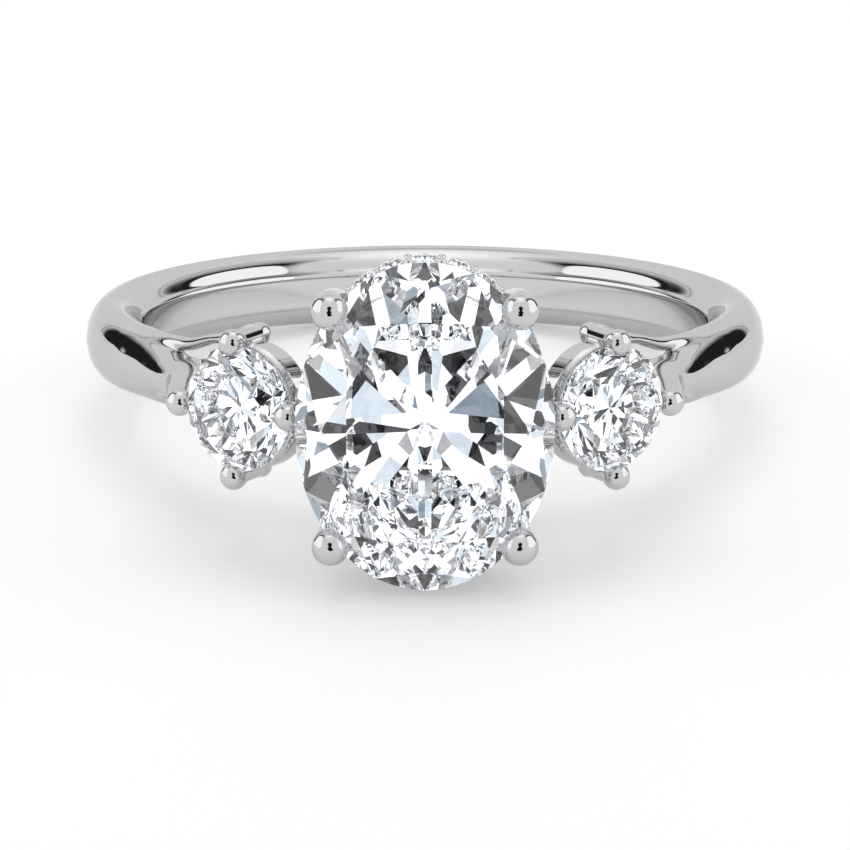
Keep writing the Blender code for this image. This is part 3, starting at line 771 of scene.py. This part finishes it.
class Sheet:
    """A node tree that is written as expressions."""

    def __init__(self, tree):
        self.tree = tree

    def node(self, kind, settings=None, sockets=()):
        made = self.tree.nodes.new(kind)
        for name, setting in (settings or {}).items():
            if name == "stops":
                for number, (place, colour) in enumerate(setting):
                    stops = made.color_ramp.elements
                    stop = stops[number] if number < len(stops) else stops.new(place)
                    stop.position = place
                    stop.color = (*colour, 1)
            elif name == "steps":
                made.color_ramp.interpolation = setting
            else:
                setattr(made, name, setting)
        pairs = sockets.items() if isinstance(sockets, dict) else enumerate(sockets)
        for name, given in pairs:
            self.feed(made.inputs[name], given)
        return Value(self, next(socket for socket in made.outputs if socket.enabled))

    def feed(self, socket, given):
        if isinstance(given, Value):
            self.tree.links.new(given.socket, socket)
        else:
            socket.default_value = given

    def ramp(self, factor, stops, steps="LINEAR"):
        return self.node("ShaderNodeValToRGB", {"steps": steps, "stops": stops}, [factor])

    def noise(self, scale, detail):
        place = self.node("ShaderNodeTexCoord").output("Object")
        return self.node("ShaderNodeTexNoise", None, {"Vector": place, "Scale": scale, "Detail": detail})


def new_material(name):
    material = bpy.data.materials.new(name)
    material.use_nodes = True
    return material, Sheet(material.node_tree), material.node_tree.nodes["Principled BSDF"]


def two_tones(sheet, shader, factor, places, colour, darker):
    """A base colour that runs from a darker share of a colour to the colour itself."""
    stops = zip(places, ([level * darker for level in colour], list(colour)))
    sheet.feed(shader.inputs["Base Color"], sheet.ramp(factor, list(stops)))


def white_gold(finish):
    """Polished white gold: a high polish with the faint cloud and hair-fine marks that a wheel leaves."""
    material = bpy.data.materials.get("white_gold_polished")
    if material:
        return material
    material, sheet, shader = new_material("white_gold_polished")
    cloud = sheet.noise(900.0, 3.0)
    hair = sheet.noise(9000.0, 4.0)
    two_tones(sheet, shader, cloud, (0.35, 0.65), finish.metal_colour, 0.985)
    shader.inputs["Metallic"].default_value = 1.0
    shader.inputs["Specular Tint"].default_value = (0.8, 0.8, 0.8, 1)
    sheet.feed(shader.inputs["Roughness"], finish.metal_roughness + 0.02 * (cloud - 0.5))
    bump = sheet.node("ShaderNodeBump", None, {"Strength": 0.02, "Distance": 2e-6, "Height": hair})
    sheet.feed(shader.inputs["Normal"], bump)
    return material


def diamond(finish):
    """Diamond: clear, with the faintest cool cloud in its body colour."""
    material, sheet, shader = new_material("diamond_cut")
    two_tones(sheet, shader, sheet.noise(350.0, 2.0), (0.3, 0.7), finish.stone_colour, 0.99)
    shader.inputs["Metallic"].default_value = 0.0
    shader.inputs["Roughness"].default_value = 0.0
    shader.inputs["Transmission Weight"].default_value = 1.0
    shader.inputs["IOR"].default_value = 2.417
    shader.inputs["Specular Tint"].default_value = (*[finish.stone_polish] * 3, 1)
    return material


def floor_sheet(finish):
    """A frosted white sheet with a faint tooth. It glows a little: painted light, with no lamp under it,
    that lifts the shadows on the sheet.
    """
    material, sheet, shader = new_material("frosted_sheet")
    two_tones(sheet, shader, sheet.noise(4000.0, 4.0), (0.3, 0.7), finish.floor_colour, 0.995)
    shader.inputs["Roughness"].default_value = 0.9
    shader.inputs["Specular IOR Level"].default_value = 0.1
    # Painted light: the sheet's emission glow, which lifts the shadows on it
    shader.inputs["Emission Color"].default_value = (1, 1, 1, 1)
    shader.inputs["Emission Strength"].default_value = finish.floor_painted_glow
    return material


def black_felt():
    """Black felt with a faint nap."""
    material, sheet, shader = new_material("black_felt")
    two_tones(sheet, shader, sheet.noise(3000.0, 2.0), (0.3, 0.7), (0.012,) * 3, 2 / 3)
    shader.inputs["Roughness"].default_value = 1.0
    shader.inputs["Specular IOR Level"].default_value = 0.0
    return material


# Studio

class Card:
    """An oval card of the studio as seen from the ring: the middle and half size of its azimuth and its
    elevation in degrees, how soft its edge is, and how bright it is. Azimuth 0 is towards the camera, and
    each card has a twin on the other side."""

    def __init__(self, azimuth, half_azimuth, elevation, half_elevation, soft, bright):
        self.azimuth, self.half_azimuth = azimuth, half_azimuth
        self.elevation, self.half_elevation = elevation, half_elevation
        self.soft, self.bright = soft, bright

    def reach(self, aside, elevation):
        """How far out a direction is, where 1 is the card's edge."""
        across = (aside - self.azimuth) / self.half_azimuth
        upright = (elevation - self.elevation) / self.half_elevation
        return (across * across + upright * upright).maths("SQRT")

    def mask(self, aside, elevation):
        """1 on the card, 0 off it and a soft edge between."""
        inside = (1 - self.reach(aside, elevation)) * (self.half_azimuth / self.soft) + 0.5
        return aside.sheet.node("ShaderNodeClamp", None, [inside])


# Two small lamps, a soft grey card at the back, a dark one under the window and dark ones in front
CARDS = (
    Card(60, 2.5, 12, 2.5, 1, 3.0),
    Card(171, 16, 60, 7, 8, 0.72),
    Card(133, 9, 15, 14, 4, 0.02),
    Card(129, 2.2, 2.5, 2.5, 1, 2.4),
    Card(0, 15, 2, 12, 3, 0.01),
    Card(0, 15, 28, 12, 3, 0.01),
    Card(0, 8, 15, 12, 3, 0.01),
)
WINDOW = Card(94, 37, 20, 38, 2, 1.5)
WINDOW_EDGE = (0.93, 0.90)

# The window's dark rim: how far out, as a share of the window's size, and how much light is left. It
# fades in over these degrees of azimuth, so it stands only on the window's far side.
RIM = ((0.92, 1.0), (0.94, 0.02), (1.03, 0.02), (1.08, 0.20), (1.30, 0.80), (1.35, 0.86), (1.37, 0.45),
       (1.41, 0.93), (1.50, 1.0))
RIM_START = (74, 92)

# Degrees of elevation over which the walls turn into the ceiling
CEILING_RISE = (58, 90)

# The tent's patches as the stones throw them back: from which share of the patches on, and how bright
SPARKLE = ((0.00, (0.010, 0.010, 0.012)), (0.20, (0.21, 0.26, 0.31)), (0.30, (0.60, 0.68, 0.75)),
           (0.42, (1.02, 1.03, 1.07)))

# The black flag: its half width, its lower and upper edge over the middle of the bore, and how far it
# stands in front of the bore's middle.
FLAG = (8.0, -14.5, -1.5, 48.0)

# Half the floor, the fill light's size and place, the camera's sensor and near and far limits, in metres
# but for the sensor, which is in millimetres as Blender has it
FLOOR_HALF = 1.5
FILL_SIZE = 0.03
FILL_PLACE = (0, 0.002, 0.06)
SENSOR_WIDTH = 36.0
CAMERA_NEAR = 0.001
CAMERA_FAR = 10.0
FOCAL_PIXELS = 4020
PICTURE_PIXELS = 850

# How often light may bounce in a stone, and the two colour inputs of a Mix node
BOUNCES = 100
MIX_A = 6
MIX_B = 7


def studio_world(light, pose):
    """The studio round the ring: walls and ceiling, the window with its rim, the cards and the patches that
    only the stones throw back."""
    world = bpy.data.worlds.new("studio")
    world.use_nodes = True
    sheet = Sheet(world.node_tree)
    background = world.node_tree.nodes["Background"]
    direction = sheet.node("ShaderNodeTexCoord").output("Generated")
    parts = sheet.node("ShaderNodeSeparateXYZ", None, [direction])
    x, y, z = (parts.output(name) for name in "XYZ")
    lean = pose.to_euler().x
    ring_y = y * math.cos(-lean) - z * math.sin(-lean)
    ring_z = y * math.sin(-lean) + z * math.cos(-lean)
    aside = abs(x.maths("ARCTAN2", -1 * ring_y)) * math.degrees(1)
    elevation = ring_z.maths("ARCSINE") * math.degrees(1)

    def climb(value, start, end, low, high):
        return sheet.node("ShaderNodeMapRange", {"interpolation_type": "SMOOTHSTEP"},
                          {"Value": value, "From Min": float(start), "From Max": float(end),
                           "To Min": low, "To Max": high})

    bright = climb(elevation, *CEILING_RISE, light.wall_brightness, light.ceiling_brightness)
    reach = WINDOW.reach(aside, elevation)
    bright = bright * (1 + climb(reach, *WINDOW_EDGE, 0.0, WINDOW.bright - 1))
    rim = sheet.ramp(reach / 2, [(place / 2, (left, left, left)) for place, left in RIM])
    bright = bright * (1 - (1 - rim) * climb(aside, *RIM_START, 0.0, 1.0))
    for card in CARDS:
        mask = card.mask(aside, elevation)
        bright = bright * (1 - mask) + mask * card.bright
    patches = sheet.node("ShaderNodeTexVoronoi", None, {"Vector": direction, "Scale": light.patch_scale})
    patch = sheet.node("ShaderNodeSeparateColor", None, [patches.output("Color")])
    sparkle = sheet.ramp(patch, SPARKLE, "CONSTANT")
    path = sheet.node("ShaderNodeLightPath")
    camera_ray, stone_ray = path.output("Is Camera Ray"), path.output("Is Transmission Ray")
    bright = bright * (1 - camera_ray) + camera_ray * light.backdrop_brightness
    sheet.feed(background.inputs["Strength"], bright * (1 + stone_ray * (light.stone_gain - 1)))
    plain = (*light.light_colour, 1)
    colours = {"Factor": stone_ray, MIX_A: plain, MIX_B: sparkle}
    tint = sheet.node("ShaderNodeMix", {"data_type": "RGBA"}, colours)
    sheet.feed(background.inputs["Color"], tint)
    bpy.context.scene.world = world


def add_flag(pose):
    """A small black flag in front of the head, which only the stones' and the balls' polish mirrors."""
    half_x, low, high, ahead = FLAG
    corners = [(x, -ahead, z) for x, z in ((-half_x, low), (half_x, low), (half_x, high), (-half_x, high))]
    mesh = bpy.data.meshes.new("flag")
    mesh.from_pydata([pose @ (Vector(corner) * MM) for corner in corners], [], [(0, 1, 2, 3)])
    mesh.materials.append(black_felt())
    flag = bpy.data.objects.new("flag", mesh)
    bpy.context.scene.collection.objects.link(flag)
    flag.visible_camera = flag.visible_diffuse = flag.visible_transmission = flag.visible_shadow = False
    return flag


def add_fill_light(light, pose):
    """A soft light over the finger hole, which brightens the sheet and isn't mirrored anywhere."""
    data = bpy.data.lights.new("fill", "AREA")
    data.energy = light.fill_power
    data.size = FILL_SIZE
    lamp = bpy.data.objects.new("fill", data)
    bpy.context.scene.collection.objects.link(lamp)
    lamp.location = pose @ Vector(FILL_PLACE)
    lamp.visible_camera = lamp.visible_glossy = lamp.visible_transmission = False


def add_camera(view, pose):
    """The camera at the photograph's angle: over the head, looking down on the ring's own plane."""
    lift = view.camera_lift
    back = Vector((0, -math.cos(lift), math.sin(lift)))
    up = Vector((0, math.sin(lift), math.cos(lift)))
    place = Matrix((Vector((1, 0, 0)), up, back)).transposed().to_4x4()
    place.translation = Vector((0, -view.aim_height, 0)) + back * view.camera_distance
    data = bpy.data.cameras.new("camera")
    data.sensor_width = SENSOR_WIDTH
    data.lens = view.lens
    data.clip_start = CAMERA_NEAR
    data.clip_end = CAMERA_FAR
    camera = bpy.data.objects.new("camera", data)
    bpy.context.scene.collection.objects.link(camera)
    camera.matrix_world = pose @ place
    bpy.context.scene.camera = camera


# What a user would change

class RingForm(PropertyGroup):
    solder_fillet: FloatProperty(
        name="Solder fillet", description="Fillet where prongs and collars are soldered together",
        default=0.10 * MM, min=0, unit="LENGTH", subtype="DISTANCE", precision=6)
    ball_fillet: FloatProperty(
        name="Ball fillet", description="Fillet where a prong's ball or a bead meets its shaft or rail",
        default=0.05 * MM, min=0, unit="LENGTH", subtype="DISTANCE", precision=6)
    bead_radius: FloatProperty(
        name="Bead", description="Radius of the beads beside the halo's stones",
        default=0.125 * MM, min=0, unit="LENGTH", subtype="DISTANCE", precision=6)


class RingFinish(PropertyGroup):
    metal_colour: FloatVectorProperty(
        name="White gold", description="Colour of the polished white gold",
        default=(0.60, 0.60, 0.60), min=0, max=1, subtype="COLOR")
    metal_roughness: FloatProperty(
        name="Metal polish", description="Roughness of the polished metal",
        default=0.035, min=0, max=1, subtype="FACTOR")
    stone_colour: FloatVectorProperty(
        name="Diamond", description="Body colour of the stones",
        default=(0.985, 0.99, 1.0), min=0, max=1, subtype="COLOR")
    stone_polish: FloatProperty(
        name="Diamond polish", description="Strength of what the stones' polished faces mirror",
        default=0.45, min=0, max=1, subtype="FACTOR")
    floor_colour: FloatVectorProperty(
        name="Floor", description="Colour of the frosted sheet under the ring",
        default=(0.66, 0.66, 0.66), min=0, max=1, subtype="COLOR")
    # Floor glow: light painted into the sheet as emission, which lifts the shadows on it; no lamp stands
    # under the sheet
    floor_painted_glow: FloatProperty(
        name="Floor glow", description="Light that comes through the sheet from below", default=0.30, min=0)


class RingStudio(PropertyGroup):
    wall_brightness: FloatProperty(
        name="Walls", description="Brightness of the studio round the ring", default=0.98, min=0)
    ceiling_brightness: FloatProperty(
        name="Ceiling", description="Brightness of the soft box overhead", default=1.55, min=0)
    backdrop_brightness: FloatProperty(
        name="Backdrop", description="Brightness of the backdrop behind the floor", default=0.95, min=0)
    fill_power: FloatProperty(
        name="Fill light", description="Power of the soft light over the finger hole",
        default=0.0045, min=0, unit="POWER")
    patch_scale: FloatProperty(
        name="Patches", description="How many patches of light the stones see across the studio",
        default=9.0, min=0)
    stone_gain: FloatProperty(
        name="Sparkle", description="How much brighter the stones see the studio", default=1.35, min=0)
    light_colour: FloatVectorProperty(
        name="Light", description="Colour of the studio's light",
        default=(1.0, 1.0, 1.0), min=0, max=1, subtype="COLOR")
    camera_lift: FloatProperty(
        name="Camera lift", description="How far the camera stands over the ring's own plane",
        default=math.radians(11.4), subtype="ANGLE")
    camera_distance: FloatProperty(
        name="Camera distance", description="From the camera to the head",
        default=0.104, unit="LENGTH", subtype="DISTANCE")
    aim_height: FloatProperty(
        name="Aim", description="From the middle of the finger hole to the point that the camera aims at",
        default=0.01358, unit="LENGTH", subtype="DISTANCE", precision=5)
    lens: FloatProperty(
        name="Lens", description="Focal length in millimetres for a 36 mm sensor",
        default=FOCAL_PIXELS / PICTURE_PIXELS * SENSOR_WIDTH, subtype="DISTANCE_CAMERA")


# Operators

class RING_OT_band(Operator):
    """Make the back half of the band, from one side of the finger hole to the other"""
    bl_idname = "ring.band"
    bl_label = "Band"

    def execute(self, context):
        outline = band_outline()
        angles = np.linspace(90, 270, BAND_RINGS)
        points = []
        for degrees in angles:
            thickness, half_width = band_size(min(degrees, 360 - degrees))
            for depth, across in outline:
                points.append(around_finger(degrees, BORE_RADIUS + depth * thickness, across * half_width))
        around = len(outline)
        faces = []
        for ring in range(len(angles) - 1):
            for side in range(around):
                beside = (side + 1) % around
                faces.append((ring * around + side, ring * around + beside,
                              (ring + 1) * around + beside, (ring + 1) * around + side))
        add_piece("band_back", (np.array(points), faces, None), white_gold(context.scene.ring_finish))
        return {"FINISHED"}


class RING_OT_shoulders(Operator):
    """Make both shoulders with their side baskets, each with the half of the bridge that it stands on"""
    bl_idname = "ring.shoulders"
    bl_label = "Shoulders and side baskets"

    def execute(self, context):
        seat = StoneSeat("side_stone_right", resting_pose())
        field = solid_of([(Band(), 0), *shoulder_parts(context.scene.ring_form)], [seat])
        far_corner = (BORE_RADIUS + BAND_THICKNESS, 0, SIDE_RADIUS + SHOULDER_ROOM)
        quarter = skin(field, (0, -CENTRE_GIRDLE_HEIGHT, 0), far_corner, SHOULDER_CELL)
        gold = white_gold(context.scene.ring_finish)
        for side, word in ((-1, "left"), (1, "right")):
            half = polished(mirrored(quarter, [(side, 1, 1), (side, 1, -1)]))
            add_piece(f"shoulder_{word}", half, gold)
        return {"FINISHED"}


class RING_OT_basket(Operator):
    """Make the four ball-tipped prongs of the centre basket"""
    bl_idname = "ring.basket"
    bl_label = "Centre basket"

    def execute(self, context):
        field = solid_of(basket_parts(context.scene.ring_form), [StoneSeat("centre_stone", resting_pose())])
        top = -CENTRE_GIRDLE_HEIGHT - CENTRE_BALL_RISE - CENTRE_BALL_RADIUS
        quarter = skin(field, (0, top, 0), (CENTRE_HALF_X, -BORE_RADIUS, CENTRE_HALF_Z), BASKET_CELL)
        whole = mirrored(quarter, [(x, 1, z) for x in (1, -1) for z in (1, -1)])
        add_piece("centre_prongs", whole, white_gold(context.scene.ring_finish))
        return {"FINISHED"}


class RING_OT_halo(Operator):
    """Make the hidden halo's rail with its seats and beads"""
    bl_idname = "ring.halo"
    bl_label = "Hidden halo"

    def execute(self, context):
        pose = resting_pose()
        seats = [StoneSeat(node, pose) for node in frame["nodes"] if node.startswith("halo_stone")]
        seats.append(StoneSeat("centre_stone", pose))
        field = solid_of([(HaloRail(), 0), *halo_beads(context.scene.ring_form)], seats)
        top = HALO_TOP - CENTRE_GIRDLE_HEIGHT
        far_corner = np.array([HALO_HALF_X, top + HALO_HEIGHT, HALO_HALF_Z]) + RAIL_ROOM
        quarter = skin(field, (0, top - RAIL_ROOM, 0), far_corner, RAIL_CELL)
        whole = mirrored(quarter, [(x, 1, z) for x in (1, -1) for z in (1, -1)])
        add_piece("halo_rail", whole, white_gold(context.scene.ring_finish))
        return {"FINISHED"}


class RING_OT_stones(Operator):
    """Give the cut stones their diamond finish"""
    bl_idname = "ring.stones"
    bl_label = "Stones"

    def execute(self, context):
        clear = diamond(context.scene.ring_finish)
        for node, thing in frame["nodes"].items():
            if "stone" in node:
                for slot in thing.material_slots:
                    slot.material = clear
        return {"FINISHED"}


class RING_OT_stage(Operator):
    """Set the floor, the studio's light and the camera"""
    bl_idname = "ring.stage"
    bl_label = "Stage"

    def execute(self, context):
        pose = resting_pose()
        mesh = bpy.data.meshes.new("floor")
        corners = [(x * FLOOR_HALF, y * FLOOR_HALF, 0) for x, y in ((-1, -1), (1, -1), (1, 1), (-1, 1))]
        mesh.from_pydata(corners, [], [(0, 1, 2, 3)])
        mesh.materials.append(floor_sheet(context.scene.ring_finish))
        floor = bpy.data.objects.new("floor", mesh)
        context.scene.collection.objects.link(floor)
        floor.visible_transmission = False
        flag = add_flag(pose)
        studio_world(context.scene.ring_studio, pose)
        add_fill_light(context.scene.ring_studio, pose)
        add_camera(context.scene.ring_studio, pose)
        context.scene.view_settings.view_transform = "Standard"
        context.scene.cycles.max_bounces = BOUNCES
        context.scene.cycles.transmission_bounces = BOUNCES
        context.scene.cycles.glossy_bounces = BOUNCES
        return {"FINISHED"}


STEPS = (RING_OT_band, RING_OT_shoulders, RING_OT_basket, RING_OT_halo, RING_OT_stones, RING_OT_stage)


class RING_PT_panel(Panel):
    """The ring's steps and values"""
    bl_idname = "RING_PT_panel"
    bl_label = "Three Stone Ring"
    bl_space_type = "VIEW_3D"
    bl_region_type = "UI"
    bl_category = "Ring"

    def draw(self, context):
        for step in STEPS:
            self.layout.operator(step.bl_idname)
        for group in (context.scene.ring_form, context.scene.ring_finish, context.scene.ring_studio):
            for name in group.bl_rna.properties.keys():
                if name not in ("name", "rna_type"):
                    self.layout.prop(group, name)


CLASSES = (RingForm, RingFinish, RingStudio, *STEPS, RING_PT_panel)


def register():
    for each in CLASSES:
        bpy.utils.register_class(each)
    bpy.types.Scene.ring_form = PointerProperty(type=RingForm)
    bpy.types.Scene.ring_finish = PointerProperty(type=RingFinish)
    bpy.types.Scene.ring_studio = PointerProperty(type=RingStudio)


def unregister():
    del bpy.types.Scene.ring_studio
    del bpy.types.Scene.ring_finish
    del bpy.types.Scene.ring_form
    for each in reversed(CLASSES):
        bpy.utils.unregister_class(each)


def main():
    register()
    for step in STEPS:
        group, name = step.bl_idname.split(".")
        getattr(getattr(bpy.ops, group), name)()


if __name__ == "__main__":
    main()
